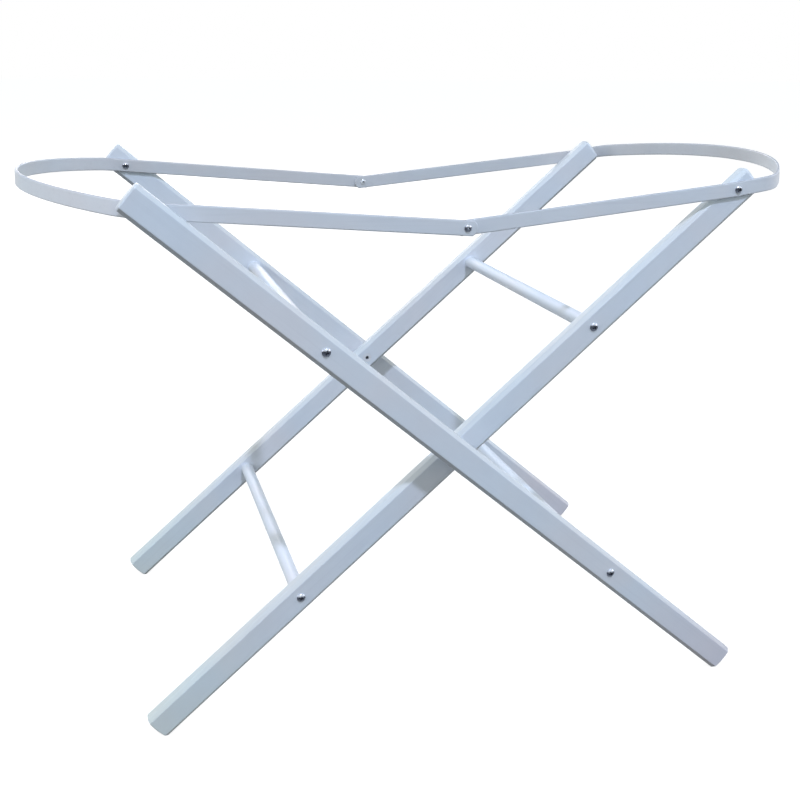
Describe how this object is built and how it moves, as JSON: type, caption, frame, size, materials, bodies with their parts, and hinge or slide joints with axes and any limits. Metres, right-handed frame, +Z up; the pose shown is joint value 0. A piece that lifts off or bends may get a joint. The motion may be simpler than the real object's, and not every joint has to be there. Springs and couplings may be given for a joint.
{
  "type": "folding moses basket stand",
  "caption": "Folding white wooden stand for a baby's moses basket: crossed leg frames joined by round rungs, with bent rails hinged at mid length to form an oval cradle loop.",
  "frame": {"origin": "on the floor, under the middle of the stand's outer box, with the stand open", "axes": "+X along the rail loop's length, towards the rail that lies outside the inner legs; +Y to the rear; +Z up"},
  "size_m": [0.774, 0.4286, 0.5292],
  "materials": {
    "painted_wood": "satin white paint",
    "zinc_steel": "bright zinc plate",
    "painted_steel": "white paint",
    "brass": "turned brass",
    "nylon": "moulded nylon"
  },
  "bodies": {
    "outer_frame": {"outer_front_leg": "painted_wood", "outer_rear_leg": "painted_wood", "outer_upper_rung": "painted_wood", "outer_lower_rung": "painted_wood", "outer_front_upper_screw": "zinc_steel", "outer_front_lower_screw": "zinc_steel", "outer_rear_upper_screw": "zinc_steel", "outer_rear_lower_screw": "zinc_steel", "front_pivot_bolt": "painted_steel", "rear_pivot_bolt": "painted_steel", "front_pivot_insert": "brass", "rear_pivot_insert": "brass", "front_pivot_spacer": "nylon", "rear_pivot_spacer": "nylon", "left_rail_front_screw": "zinc_steel", "left_rail_rear_screw": "zinc_steel"},
    "inner_frame": {"inner_front_leg": "painted_wood", "inner_rear_leg": "painted_wood", "inner_upper_rung": "painted_wood", "inner_lower_rung": "painted_wood", "inner_front_upper_screw": "zinc_steel", "inner_front_lower_screw": "zinc_steel", "inner_rear_upper_screw": "zinc_steel", "inner_rear_lower_screw": "zinc_steel", "right_rail_front_screw": "zinc_steel", "right_rail_rear_screw": "zinc_steel"},
    "left_rail": {"left_rail": "painted_wood", "front_hinge_screw": "zinc_steel", "rear_hinge_screw": "zinc_steel"},
    "right_rail": {"right_rail": "painted_wood", "front_hinge_nut": "zinc_steel", "rear_hinge_nut": "zinc_steel"}
  },
  "joints": [
    {"name": "fold", "type": "hinge", "parent": "outer_frame", "child": "inner_frame", "pos_m": [-0.00106, 0, 0.26381], "axis": [0, -1, 0], "range_deg": [0, 71]},
    {"name": "left_rail_swing", "type": "hinge", "parent": "outer_frame", "child": "left_rail", "pos_m": [-0.27778, 0, 0.50183], "axis": [0, -1, 0], "range_deg": [-30.57, 0]},
    {"name": "right_rail_swing", "type": "hinge", "parent": "inner_frame", "child": "right_rail", "pos_m": [0.27272, 0, 0.50524], "axis": [0, -1, 0], "range_deg": [0, 32.21]}
  ],
  "couplings": [
    {"joint": "left_rail_swing", "follows": "fold", "ratio": -0.43047},
    {"joint": "right_rail_swing", "follows": "fold", "ratio": 0.4536}
  ]
}
